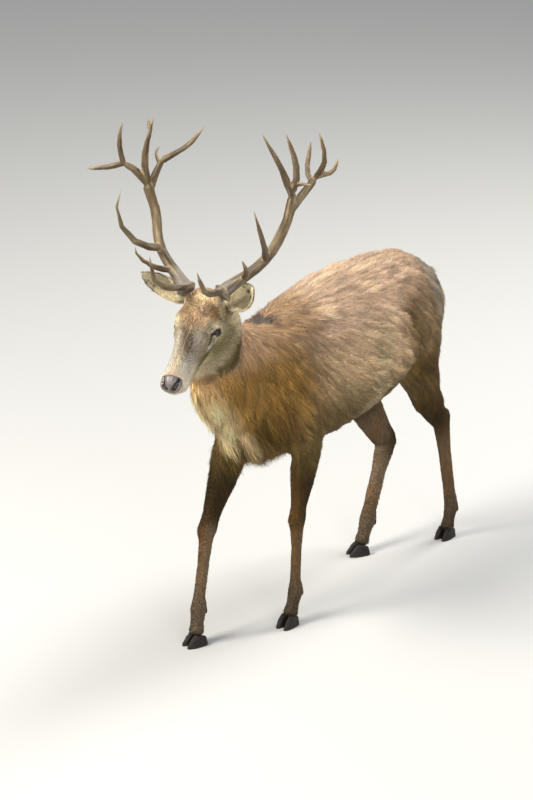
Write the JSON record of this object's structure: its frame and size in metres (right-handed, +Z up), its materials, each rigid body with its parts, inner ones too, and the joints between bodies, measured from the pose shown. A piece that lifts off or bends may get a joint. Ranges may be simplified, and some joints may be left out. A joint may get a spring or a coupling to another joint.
{
  "type": "red deer stag model",
  "caption": "Life-size still model of a red deer stag in mid stride, with branched antlers, an autumn neck mane and its head turned a little to its left.",
  "frame": {"origin": "on the floor, under the middle of the stag's box, level with the soles of its hooves", "axes": "the stag faces -Y, its left side is +X and +Z is up"},
  "size_m": [0.8624, 1.8786, 1.9961],
  "materials": {
    "coat": "short dense hair, long and shaggy on the neck",
    "antler": "grooved bone, polished at the points",
    "hoof": "worn horn",
    "nose": "moist pebbled skin",
    "eye": "wet and glossy"
  },
  "bodies": {
    "root": {"head": "coat", "nose_pad": "nose", "eye_left": "eye", "eye_right": "eye", "ear_left": "coat", "ear_right": "coat", "neck": "coat", "trunk": "coat", "tail": "coat", "antler_left_beam_lower": "antler", "antler_left_beam_upper": "antler", "antler_left_bez": "antler", "antler_left_brow": "antler", "antler_left_crown_front": "antler", "antler_left_crown_rear": "antler", "antler_left_trez": "antler", "antler_right_beam_lower": "antler", "antler_right_beam_upper": "antler", "antler_right_bez": "antler", "antler_right_brow": "antler", "antler_right_crown_front": "antler", "antler_right_crown_rear": "antler", "antler_right_trez": "antler", "leg_fore_left_cannon": "coat", "leg_fore_left_dewclaw_inner": "hoof", "leg_fore_left_dewclaw_outer": "hoof", "leg_fore_left_foot": "coat", "leg_fore_left_hoof_inner": "hoof", "leg_fore_left_hoof_outer": "hoof", "leg_fore_left_upper": "coat", "leg_fore_right_cannon": "coat", "leg_fore_right_dewclaw_inner": "hoof", "leg_fore_right_dewclaw_outer": "hoof", "leg_fore_right_foot": "coat", "leg_fore_right_hoof_inner": "hoof", "leg_fore_right_hoof_outer": "hoof", "leg_fore_right_upper": "coat", "leg_hind_left_cannon": "coat", "leg_hind_left_dewclaw_inner": "hoof", "leg_hind_left_dewclaw_outer": "hoof", "leg_hind_left_foot": "coat", "leg_hind_left_hoof_inner": "hoof", "leg_hind_left_hoof_outer": "hoof", "leg_hind_left_upper": "coat", "leg_hind_right_cannon": "coat", "leg_hind_right_dewclaw_inner": "hoof", "leg_hind_right_dewclaw_outer": "hoof", "leg_hind_right_foot": "coat", "leg_hind_right_hoof_inner": "hoof", "leg_hind_right_hoof_outer": "hoof", "leg_hind_right_upper": "coat"}
  },
  "joints": []
}
